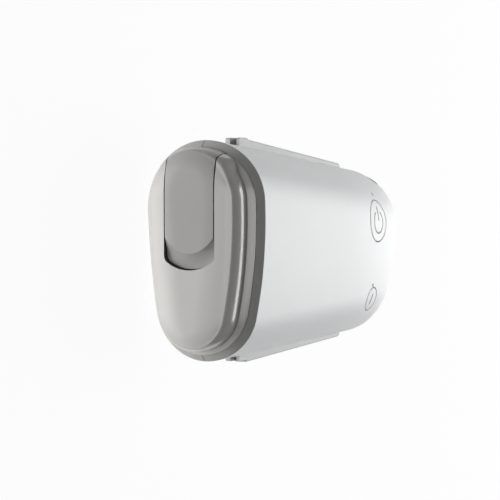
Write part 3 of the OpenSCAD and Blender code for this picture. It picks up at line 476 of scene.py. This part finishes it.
BY_SLOT = {
    "white_shell": plastic("white_gloss", srgb(234, 235, 236), rough=0.46, bump=0.02,
                           blotch=0.008, rough_var=0.015),
    "button_white": key_white,
    "bezel_grey": paint("bezel_paint", srgb(170, 169, 168), rough=0.28),
    "cap_grey": paint("cap_paint", srgb(188, 186, 183), rough=0.24, coat=0.7),
    "door_grey": paint("door_paint", srgb(162, 160, 158), rough=0.26),
    "rail_grey": plastic("rail_satin", srgb(182, 183, 184), rough=0.42, bump=0.04, blotch=0.01),
    "seal_rubber": plastic("rubber", srgb(48, 48, 50), rough=0.75, bump=0.2, blotch=0.08),
    "pin_steel": plastic("steel", srgb(190, 190, 192), rough=0.25, bump=0.05, blotch=0.04,
                         metallic=1.0),
    "inner_plastic": inner_plastic_and_gap_shade,
    "filter_media": fibres("filter_felt", srgb(226, 228, 224), 1800, 0.0002),
    "silicone": plastic("silicone", srgb(206, 208, 208), rough=0.5, bump=0.06, blotch=0.03),
    "circuit_board": board_material(),
    "green_lens": lens_material("lit_lens", srgb(122, 190, 130), 0.25),
    "grey_lens": lens_material("dark_lens", srgb(120, 122, 124), 0.0),
    "black_plastic": plastic("black_plastic", srgb(30, 30, 32), rough=0.5, bump=0.1,
                             blotch=0.06),
    "contact_metal": plastic("contact_metal", srgb(205, 180, 120), rough=0.25, bump=0.04,
                             blotch=0.05, metallic=1.0),
    "outlet_grey": plastic("outlet_grey", srgb(150, 152, 156), rough=0.45, bump=0.06,
                           blotch=0.02),
    "impeller_plastic": plastic("impeller_plastic", srgb(205, 205, 200), rough=0.45, bump=0.06,
                                blotch=0.03),
    "magnet": plastic("magnet", srgb(58, 56, 58), rough=0.5, bump=0.12, blotch=0.08,
                      metallic=0.5),
    "stator_iron": plastic("stator_iron", srgb(110, 112, 116), rough=0.45, bump=0.1,
                           blotch=0.08, metallic=0.9),
    "copper_wire": plastic("enamelled_wire", srgb(184, 104, 60), rough=0.3, bump=0.25,
                           blotch=0.12, metallic=0.9, grain=2600),
    "motor_aluminium": plastic("motor_aluminium", srgb(178, 180, 184), rough=0.35, bump=0.06,
                               blotch=0.05, metallic=1.0),
    "foam": fibres("acoustic_foam", srgb(66, 68, 72), 1500, 0.0004),
}
for ob in nodes.values():
    for s in ob.material_slots:
        key = s.material.name.split(".")[0] if s.material else ""
        if key in BY_SLOT:
            s.material = BY_SLOT[key]
        else:
            print("unmatched slot", ob.name, key)


def finish_piece(ob, body, slot, *stands_for, mat=None, inside=None):
    """Gives a piece its slot's finish, or mat, and its body; faces marked 1 take inside."""
    marks = [f.material_index for f in ob.data.polygons]
    ob.data.materials.clear()
    ob.data.materials.append(mat or BY_SLOT[slot])
    if inside:
        ob.data.materials.append(inside)
        ob.data.polygons.foreach_set("material_index", marks)
    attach(ob, body)
    if stands_for:
        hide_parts(*stands_for)


# ---- White body ----
CUT_FLOOR = 12.0


def surface_cutter(name, cx, cy, profile):
    """A round cutter through the button face whose flared mouth follows the surface."""
    ring_t = np.linspace(0, 2 * math.pi, CIRCLE, endpoint=False)
    rings = []
    for r, dz in profile:
        circle = [(cx + r * math.cos(t), cy + r * math.sin(t)) for t in ring_t]
        rings.append([(x, y, CUT_FLOOR if dz is None else on_face(x, y) + dz)
                      for x, y in circle])
    return loft(name, rings)


def key_cutter(name, key):
    x, y, r = key
    r += KEY_GAP
    return surface_cutter(name, x, y, [(r, None), (r, -0.32), (r + 0.05, -0.16),
                                       (r + 0.16, -0.04), (r + 0.3, 0.02), (r + 0.6, 0.1),
                                       (r + 0.6, 2.0)])


def led_cutter(place):
    return surface_cutter("led", *place, [(0.74, None), (0.74, -0.1), (0.9, 0.05), (0.9, 2)])


def turned(name, profile, axis_at, axis="z", steps=CIRCLE):
    """A solid of revolution: profile of (radius, along) round an axis through axis_at."""
    t = np.linspace(0, 2 * math.pi, steps, endpoint=False)
    rings = []
    for r, h in profile:
        r = max(r, 1e-3)
        c, s = r * np.cos(t), r * np.sin(t)
        if axis == "z":
            p = np.stack([axis_at[0] + c, axis_at[1] + s, np.full_like(t, axis_at[2] + h)], 1)
        elif axis == "y":
            p = np.stack([axis_at[0] + c, np.full_like(t, axis_at[1] + h), axis_at[2] + s], 1)
        else:
            p = np.stack([np.full_like(t, axis_at[0] + h), axis_at[1] + c, axis_at[2] + s], 1)
        rings.append(p)
    return loft(name, rings)


def outlet_cutter():
    """The opening for the air outlet, which leans with the narrow end."""
    ob = turned("outlet_cut", [(11.3, -9), (11.3, 4)], (0, 0, 0), "x")
    at_zero = Matrix.Translation(-Vector((SHIFT * MM)))
    to_mouth = Matrix.Translation(Vector([v / 1000 for v in OUTLET]))
    ob.data.transform(at_zero.inverted() @ to_mouth @
                      Matrix.Rotation(-math.radians(LEAN), 4, "Z") @ at_zero)
    return ob


def shell(front):
    """One half of the body, hollow, with its openings."""
    ob = loft("upper_body" if front else "lower_body",
              [half_ring(x, 0, front) for x in STATIONS])
    reach = (BODY_L - WALL) / BODY_L
    space = loft("space", [half_ring(0, WALL, front, -1, 1.0)] +
                 [half_ring(x, WALL, front, x * reach, 1.0) for x in STATIONS[1::2]])
    boolean(ob, space)
    boolean(ob, outlet_cutter())
    if front:
        boolean(ob, key_cutter("k1", POWER_KEY))
        boolean(ob, key_cutter("k2", PAIR_KEY))
        for place in (POWER_LED, PAIR_LED):
            boolean(ob, led_cutter(place))
        boolean(ob, turned("dc", [(DC[2], 14), (DC[2], 50)], (DC[0], 0, DC[1]), "y"))
    shade(ob, [front_skin if front else back_skin])
    return ob


finish_piece(shell(True), "housing", "white_shell", "upper_shell")
finish_piece(shell(False), "housing", "white_shell", "lower_shell")

# ---- Bezel ----
# (in front of the rim, drawn in): small round edges at both ends of a sloping side
bezel_profile = [(0.0, 0.0), (-0.06, 0.02), (-0.14, 0.1)]
bezel_profile += [(-0.14 - (BEZEL_L - 0.3) * s, 0.1 + (BEZEL_IN - 0.26) * s)
                  for s in np.linspace(0, 1, 6)[1:]]
bezel_profile += [(-BEZEL_L + 0.05, BEZEL_IN - 0.06), (-BEZEL_L, BEZEL_IN + 0.06)]


def bezel(front):
    """One half of the bezel; half the seam between the two lies on its side."""
    seam = 0.12
    outer = [half_ring(0, i, front, x) for x, i in bezel_profile]
    hole = [half_ring(0, SPIGOT_IN - 0.2, front, x) for x, i in reversed(bezel_profile)]
    pts = np.array(outer + hole + outer[:1])
    m, n = pts.shape[:2]
    pts[:, (0, -1), 2] = seam if front else -seam
    faces = grid_faces(m, n, False)
    faces += [tuple(i * n for i in range(m - 1)), tuple(i * n + n - 1 for i in range(m - 1))]
    ob = obj_from("bezel_front" if front else "bezel_rear", pts.reshape(-1, 3), faces)
    shade(ob, angle=35)
    return ob


finish_piece(bezel(True), "housing", "bezel_grey", "upper_bezel")
finish_piece(bezel(False), "housing", "bezel_grey", "lower_bezel")


# ---- End cap ----
def crown_height(s):
    """Height of the crown at the share s of its run; its top stays inside the CAD box."""
    return CROWN * (1 - (1 - s) ** 2) * 0.98


# The cap's outline as (in front of the rim, drawn in): spigot and flange edge, sloping
# flange up to the foot of the wall, small fillet, one elliptic rounding, then the crown
SLOPE_X, SLOPE_IN, SLOPE_RUN = 0.18, 0.16, 0.8
FOOT_X, FOOT_IN = FLANGE_X + 0.98, 5.3
WALL_X, WALL_IN = 4.9, 5.54
cap_profile = [(-4.0, SPIGOT_IN), (FLANGE_X, SPIGOT_IN), (FLANGE_X, BEZEL_IN + 0.24),
               (FLANGE_X + 0.05, BEZEL_IN + 0.14), (FLANGE_X + SLOPE_X, BEZEL_IN + SLOPE_IN)]
cap_profile += [(FLANGE_X + SLOPE_X + SLOPE_RUN * s,
                 BEZEL_IN + SLOPE_IN + (FOOT_IN - BEZEL_IN - SLOPE_IN) * s)
                for s in (0.33, 0.66, 1.0)]
cap_profile += [(FOOT_X + 0.22 * a, FOOT_IN + 0.2 * b) for a, b in quarter(13)[1:]]
cap_profile += [(WALL_X + (CAP_FACE - WALL_X) * b, WALL_IN + (CROWN_IN - WALL_IN) * a)
                for a, b in quarter(21)[:-1]]
cap_profile += [(CAP_FACE + crown_height(s), CROWN_IN + CROWN_RUN * s)
                for s in np.linspace(0, 1, 20)]


def cap_section(profile, wall=0.0):
    """Rings of the cap's skin, or of its hollow one wall inside; the first two are plain."""
    return [rim_ring(i, -x) if k < 2 else drawn_ring(i, cap_tip(i - wall) + wall, -x)
            for k, (x, i) in enumerate(profile)]


cap_rings = cap_section(cap_profile)

# The door wraps over the thick edge: its skin curves up from a root by the flange to the
# face. Beside the door, up to BLEND_TO from its middle, the cap rises to that skin.
ROOT_X, ROOT_IN = FLANGE_X + 0.35, BEZEL_IN + 0.2
CURVE_L, CURVE_IN = CAP_FACE - ROOT_X, CROWN_IN - ROOT_IN
BLEND_TO, BLEND_OVER = 16.6, 5.0
for k, (x, _) in enumerate(cap_profile):
    if k < 3 or x > CAP_FACE:
        continue
    rise = 1 - math.cos(math.asin(min(1, max(0, (x - ROOT_X) / CURVE_L))))
    door_ring = drawn_ring(ROOT_IN + CURVE_IN * rise, ROOT_IN + CURVE_TIP * rise, -x)
    ring = cap_rings[k]
    w = np.clip((BLEND_TO - np.abs(ring[:, 2] - DOOR_Z)) / BLEND_OVER, 0, 1)
    w = (w * w * (3 - 2 * w) * (ring[:, 1] > 0))[:, None]
    cap_rings[k] = ring * (1 - w) + door_ring * w
# The first three rings stay off the skin, so the spigot and the flange's outer edge take the dark
# inner plastic: painted shade for the gap at the bezel
cap_skin = Skin(cap_rings[3:], True)


def tongue(grow, x_from, x_to):
    """The door's outline in the Y-Z plane, larger by grow, pushed through along X."""
    end_y = DOOR_LOW + DOOR_R
    corner_z = DOOR_W / 2 - CORNER_R
    corner_y = end_y - math.sqrt((DOOR_R - CORNER_R) ** 2 - corner_z ** 2)
    turn = math.asin(corner_z / (DOOR_R - CORNER_R))
    corner = [(corner_y - (CORNER_R + grow) * math.cos(t),
               corner_z + (CORNER_R + grow) * math.sin(t))
              for t in np.linspace(turn, math.pi / 2, 14)]
    arc = [(end_y - (DOOR_R + grow) * math.cos(t), (DOOR_R + grow) * math.sin(t))
           for t in np.linspace(-turn, turn, 41)[1:-1]]
    side = [(y, DOOR_W / 2 + grow) for y in np.linspace(corner[-1][0] + 1, RIM_H / 2 + 2, 12)]
    outline = [(y, -z) for y, z in reversed(corner + side)] + arc + corner + side
    return loft("tongue", [[(-x, y, z + DOOR_Z) for y, z in outline] for x in (x_from, x_to)])


def make_cap():
    ob = loft("cap", cap_rings)
    hollow = [(-5.0, SPIGOT_IN + CAP_WALL), (FLANGE_X, SPIGOT_IN + CAP_WALL),
              (FLANGE_X + 1.2, FILLET_IN + CAP_WALL),
              (CAP_FACE - CAP_WALL - 1, FILLET_IN + CAP_WALL + 0.9),
              (CAP_FACE - CAP_WALL, FILLET_IN + CAP_WALL + 2.2)]
    boolean(ob, loft("space", cap_section(hollow, CAP_WALL)))
    boolean(ob, tongue(DOOR_GAP, FLANGE_X, CAP_REACH + 2))
    relief_half = DOOR_W / 2 + DOOR_GAP
    boolean(ob, turned("relief", [(RELIEF_R, -relief_half), (RELIEF_R, relief_half)],
                       (-HINGE_X, HINGE_Y, DOOR_Z), "z"))
    shade(ob, [cap_skin])
    mark_inside_and_gap_shade(ob, [cap_skin])
    return ob


# The cap's inside and the walls of its cuts take the dark inner plastic, partly its own unpainted
# plastic and partly painted shade in the gaps
finish_piece(make_cap(), "housing", "cap_grey", "end_cap", inside=inner_plastic_and_gap_shade)


# ---- Filter door ----
def door_profile(back, steps):
    """(in front of the rim, drawn in at the sides, drawn in at the tips) of the door's skin,
    or of a surface that lies back behind it."""
    out = []
    for i in range(steps + 1):
        t = math.radians(90 * i / steps)
        rise = 1 - math.cos(t)
        out.append((ROOT_X + (CURVE_L - back) * math.sin(t), ROOT_IN + back + CURVE_IN * rise,
                    ROOT_IN + back + CURVE_TIP * rise))
    last_tip = cap_tip(CROWN_IN + CROWN_RUN) - ROOT_IN - CURVE_TIP
    for i in range(1, 21):
        s = i / 20
        thin = s * (1 - back / 20)
        out.append((CAP_FACE - back + crown_height(s),
                    ROOT_IN + back + CURVE_IN + CROWN_RUN * thin,
                    ROOT_IN + back + CURVE_TIP + last_tip * thin))
    return out


door_rings = [drawn_ring(i, t, -x) for x, i, t in door_profile(0, 30)]
door_skin = Skin(door_rings, True)


def scoop(points, steps=97):
    """A half turn about the middle of the scoop, on the side of the door's round end."""
    cy = DOOR_LOW + SCOOP_RUN + SCOOP_R
    return loft("scoop", [[(-CAP_REACH - h, cy - r * math.sin(t), DOOR_Z + r * math.cos(t))
                           for r, h in points] for t in np.linspace(0, math.pi, steps)])


def make_door():
    """The door with its finger scoop, the web behind it and the barrel on the hinge pin."""
    ob = loft("door", door_rings)
    space = loft("space", [rim_ring(ROOT_IN + DOOR_WALL, 0)] +
                 [drawn_ring(i, t, -x) for x, i, t in door_profile(DOOR_WALL, 16)])
    narrow, wide = SCOOP_R - 2, SCOOP_R + 9
    deep = -SCOOP_DEEP - DOOR_WALL
    boolean(space, scoop([(narrow, deep), (wide, deep), (wide, 1), (narrow, 1)]))
    boolean(ob, space)
    lip = [(SCOOP_R - 0.25, 3), (SCOOP_R - 0.25, 0.25), (SCOOP_R - 0.05, 0.02)]
    bowl = [(SCOOP_R + SCOOP_RUN * s, -SCOOP_DEEP * (1 - (1 - s) ** 2))
            for s in np.linspace(0.02, 1, 16)]
    boolean(ob, scoop(lip + bowl + [(wide, -SCOOP_DEEP), (wide, 3)]))
    boolean(ob, tongue(0, ROOT_X, CAP_REACH + 2), "INTERSECT")
    pin = (-HINGE_X, HINGE_Y, DOOR_Z)
    corners = ((-1.2, -1.3), (1.2, -1.3), (1.2, 1.3), (-1.2, 1.3))
    web = loft("door_web", [[(pin[0] + dx, pin[1] + dy, pin[2] + dz) for dx, dz in corners]
                            for dy in (0.8, 1.4)])
    barrel = turned("door_barrel", [(0.66, -1.3), (1.35, -1.3), (1.5, -1.15), (1.5, 1.15),
                                    (1.35, 1.3), (0.66, 1.3)], pin, "z", 48)
    shade(ob, [door_skin])
    shade(web)
    shade(barrel)
    return ob, web, barrel


door, web, barrel = make_door()
finish_piece(door, "door", "door_grey", "filter_door")
finish_piece(web, "door", "door_grey")
finish_piece(barrel, "door", "door_grey")


# ---- Buttons ----
def key_top(name, key):
    """The button's cap: a disc that follows the body's face, with a soft edge."""
    x0, y0, r = key
    soft = 0.35
    # (radius, height over the body's face) of each ring
    profile = [(r * q, 0.0) for q in (0.001, 0.25, 0.5, 0.7, 0.85, 0.93)]
    profile += [(r - soft + soft * b, -soft * a) for a, b in quarter(7)]
    profile += [(r, None), (0.001, None)]
    rings = []
    for ring_r, dz in profile:
        circle = [(x0 + ring_r * math.cos(a), y0 + ring_r * math.sin(a))
                  for a in np.linspace(0, 2 * math.pi, CIRCLE, endpoint=False)]
        rings.append([(x, y, KEY_BASE if dz is None else on_face(x, y) + dz)
                      for x, y in circle])
    ob = loft(name, rings)
    shade(ob, [front_skin], angle=40)
    return ob


def key_foot(name, key, led):
    """Flange under the cap, cut out for the light guide, and the stem that presses the dome."""
    x0, y0, r = key
    flange = r + KEY_GAP + 0.9
    top, low = KEY_BASE, 13.2
    ob = turned(name, [(0.01, top - 0.9), (flange - 0.1, top - 0.9), (flange, top - 0.8),
                       (flange, top - 0.1), (flange - 0.1, top), (0.01, top)], (x0, y0, 0))
    boolean(ob, turned("notch", [(1.0, 5), (1.0, 20)], (*led, 0), "z", 32))
    stem = turned("stem", [(0.01, low), (1.8, low), (2, 13.4), (2, top - 0.85),
                           (0.01, top - 0.85)], (x0, y0, 0), "z", 48)
    shade(ob)
    shade(stem)
    return join(name, [ob, stem])


for key, led, body, node in ((POWER_KEY, POWER_LED, "power_key", "power_button"),
                             (PAIR_KEY, PAIR_LED, "pairing_key", "pairing_button")):
    finish_piece(key_top(node + "_cap", key), body, "button_white", node)
    finish_piece(key_foot(node + "_foot", key, led), body, "button_white")


def ribbon(name, path, width, body, lift=0.03):
    """A printed stroke that lies on the button face, with round ends."""
    path = np.array(path, float)
    d = np.gradient(path, axis=0)
    d /= np.linalg.norm(d, axis=1, keepdims=True)
    nrm = np.stack([-d[:, 1], d[:, 0]], 1)
    left, right = path + nrm * width / 2, path - nrm * width / 2
    turn = np.linspace(0, math.pi, 9)[1:-1]
    first_end = [path[0] + (-d[0] * math.sin(a) + nrm[0] * math.cos(a)) * width / 2
                 for a in turn]
    last_end = [path[-1] + (d[-1] * math.sin(a) - nrm[-1] * math.cos(a)) * width / 2
                for a in turn]
    outline = [*left, *reversed(last_end), *right[::-1], *reversed(first_end)]
    rows = [[(p[0], p[1], on_face(p[0], p[1]) + dz) for p in outline] for dz in (-0.05, lift)]
    n, k = len(left), len(outline)
    faces = [(j, (j + 1) % k, k + (j + 1) % k, k + j) for j in range(k)]
    mids = n + len(last_end)
    for base in (0, k):
        for i in range(n - 1):
            far = base + mids + n - 1 - i
            faces.append((base + i, base + i + 1, far - 1, far))
        faces.append(tuple(range(base + n - 1, base + mids + 1)))
        faces.append((*range(base + mids + n - 1, base + k), base))
    ob = obj_from(name, np.array(rows).reshape(-1, 3), faces)
    shade(ob, angle=50)
    finish_piece(ob, body, "rail_grey", mat=ink)


px, py = POWER_KEY[0] - 0.1, POWER_KEY[1] - 0.4
POWER_MARK_R, POWER_MARK_W = 4.5, 0.75
arc = [(px + POWER_MARK_R * math.sin(math.radians(a)),
        py + POWER_MARK_R * math.cos(math.radians(a))) for a in np.linspace(34, 326, 61)]
ribbon("power_mark_arc", arc, POWER_MARK_W, "power_key")
ribbon("power_mark_bar", [(px, py + y) for y in np.linspace(0.9, 5.9, 9)], POWER_MARK_W,
       "power_key")
qx, qy = PAIR_KEY[0] - 0.2, PAIR_KEY[1]
ribbon("pairing_mark", [(qx + 0.45 * s, qy + 1.9 * s) for s in np.linspace(-1, 1, 9)], 0.6,
       "pairing_key")


# ---- Side rails ----
RAIL_FROM, RAIL_TO, RAIL_TIP = 30, 97, 0.9
RAIL_TALL, RAIL_LOW = 3.0, 1.5
LUG_TOP, RAIL_FOOT = 41.9, 2.2


def side_y(x, side):
    """Half height of the body at x on the thick side (1) or the thin side (-1)."""
    return RIM_H / 2 - (THICK_TAPER if side > 0 else THIN_TAPER) * x / BODY_L


def bar(name, side, stations, half, bevel):
    """A bar along a narrow side with round outer edges; stations are (x, top, drop)."""
    rings = []
    for x, y, drop_y in stations:
        top, foot = y - drop_y, side_y(x, side) - RAIL_FOOT
        low_edge = [(x, side * (top - bevel + bevel * math.sin(math.radians(a))),
                     -half + bevel - bevel * math.cos(math.radians(a)))
                    for a in np.linspace(0, 90, 7)]
        high_edge = [(x, side * (top - bevel + bevel * math.cos(math.radians(a))),
                      half - bevel + bevel * math.sin(math.radians(a)))
                     for a in np.linspace(0, 90, 7)]
        rings.append([(x, side * foot, -half), *low_edge, *high_edge, (x, side * foot, half)])
    return loft(name, rings)


def make_rail(side):
    """The long bar of a dock rail and its short lug, with a slot that opens to the front."""
    def top_y(x):
        s = (x - RAIL_FROM) / (RAIL_TO - RAIL_FROM)
        return side_y(x, side) + RAIL_TALL + (RAIL_LOW - RAIL_TALL) * s
    stations = [(x, top_y(x), 0.0) for x in np.linspace(24.4, 95.5, 14)]
    stations += [(96.1 + RAIL_TIP * math.sin(math.radians(a)), top_y(RAIL_TO),
                  RAIL_TIP * (1 - math.cos(math.radians(a)))) for a in np.linspace(0, 80, 6)]
    long_bar = bar("long", side, stations, 2.9, 0.6)
    lug = [(18.5, 0.5), (18.6, 0.2), (18.8, 0.05), (19.1, 0.0), (23.6, 0.0), (24.6, 0.1),
           (25.2, 0.3), (25.6, 0.7)]
    block = bar("lug", side, [(x, LUG_TOP, drop_y) for x, drop_y in lug], 3.0, 0.35)
    low, high = side * (side_y(18.6, side) + 0.3), side * 50
    slot = [(low, -0.9), (high, -0.9), (high, 1.9), (low, 1.9)]
    boolean(block, loft("pocket", [[(x, y, z) for y, z in slot] for x in (17, 23.4)]))
    shade(long_bar)
    shade(block)
    return join("rail_thick_side" if side > 0 else "rail_thin_side", [long_bar, block])


finish_piece(make_rail(1), "housing", "rail_grey", "left_rail")
finish_piece(make_rail(-1), "housing", "rail_grey", "right_rail")

# ---- Camera ----
# Turned by theta from the button face towards the grey end, and raised by phi
theta, phi = math.radians(58.34), math.radians(1.62)
right = Vector((math.cos(theta), 0, math.sin(theta)))
up = Vector((math.sin(theta) * math.sin(phi), math.cos(phi), -math.cos(theta) * math.sin(phi)))
back = Vector((-math.sin(theta) * math.cos(phi), math.sin(phi),
               math.cos(theta) * math.cos(phi)))
# Millimetres to the right of, over and away from the middle of the rim
spot = right * 16.4 + up * 0.33 + back * 620.5 + Vector(tuple(SHIFT))
cam_data = bpy.data.cameras.new("camera")
cam_data.lens, cam_data.sensor_width = 122.4, 36
cam_data.clip_start, cam_data.clip_end = 0.01, 50
cam = bpy.data.objects.new("camera", cam_data)
scene.collection.objects.link(cam)
rot = Matrix((right, up, back)).transposed().to_4x4()
cam.matrix_world = Matrix.Translation(spot * MM) @ rot
scene.camera = cam


# ---- Light ----
def softbox(name, direction, distance, size, power):
    """A soft rectangular lamp, in the given direction from the object's middle."""
    light = bpy.data.lights.new(name, "AREA")
    light.shape = "RECTANGLE"
    light.size, light.size_y = size
    light.energy = power
    ob = bpy.data.objects.new(name, light)
    scene.collection.objects.link(ob)
    d = Vector(direction).normalized()
    ob.location = Vector((0, 0, 0.026)) + d * distance
    ob.rotation_euler = (-d).to_track_quat("-Z", "Y").to_euler()


softbox("key_behind", (0.78, 0.0, 0.62), 1.1, (1.0, 0.95), 12.2)
softbox("end_light", (1.0, 0.0, 0.12), 0.9, (0.3, 0.7), 1.6)
# Shines up through the floor, which casts no shadow, as on a light table
softbox("table_glow", (-0.5, 0.0, -0.87), 1.0, (0.5, 0.8), 9.6)
softbox("low_front", (-0.99, 0.0, -0.04), 1.0, (0.4, 0.9), 1.7)


def mixed(tree, factor, first, second, out_kind):
    """Joins two shaders, mixed by factor, to the tree's output."""
    mix = add_node(tree, "MixShader")
    for socket, into in zip((factor, first.outputs[0], second.outputs[0]), mix.inputs):
        tree.links.new(socket, into)
    tree.links.new(mix.outputs[0], add_node(tree, out_kind).inputs[0])


# The camera sees white behind the object, and the world's light on it is weak
WHITE = (1, 1, 1, 1)
scene.world = bpy.data.worlds.new("room")
tree = empty_tree(scene.world)
path = add_node(tree, "LightPath")
mixed(tree, path.outputs["Is Camera Ray"],
      add_node(tree, "Background", Color=WHITE, Strength=0.14),
      add_node(tree, "Background", Color=WHITE, Strength=1.0), "OutputWorld")

# ---- Floor ----
# Mostly plain white to the camera and in reflections; the rest of it shows the shadow
FLOOR_WHITE = 0.94
floor_me = bpy.data.meshes.new("floor")
floor_me.from_pydata([(-4, -4, 0), (4, -4, 0), (4, 4, 0), (-4, 4, 0)], [], [(0, 1, 2, 3)])
floor = bpy.data.objects.new("floor", floor_me)
scene.collection.objects.link(floor)
floor_mat = bpy.data.materials.new("floor_white")
tree = empty_tree(floor_mat)
path = add_node(tree, "LightPath").outputs
direct = math_node(tree, "MAXIMUM", path["Is Camera Ray"], path["Is Glossy Ray"])
seen = math_node(tree, "MAXIMUM", direct.outputs[0], path["Is Transmission Ray"])
share = math_node(tree, "MULTIPLY", seen.outputs[0])
share.inputs[1].default_value = FLOOR_WHITE
mixed(tree, share.outputs[0], add_node(tree, "BsdfDiffuse", Color=(0.86, 0.86, 0.86, 1)),
      add_node(tree, "Emission", Strength=1.0), "OutputMaterial")
floor_me.materials.append(floor_mat)
floor.visible_shadow = False

scene.view_settings.view_transform = "Standard"
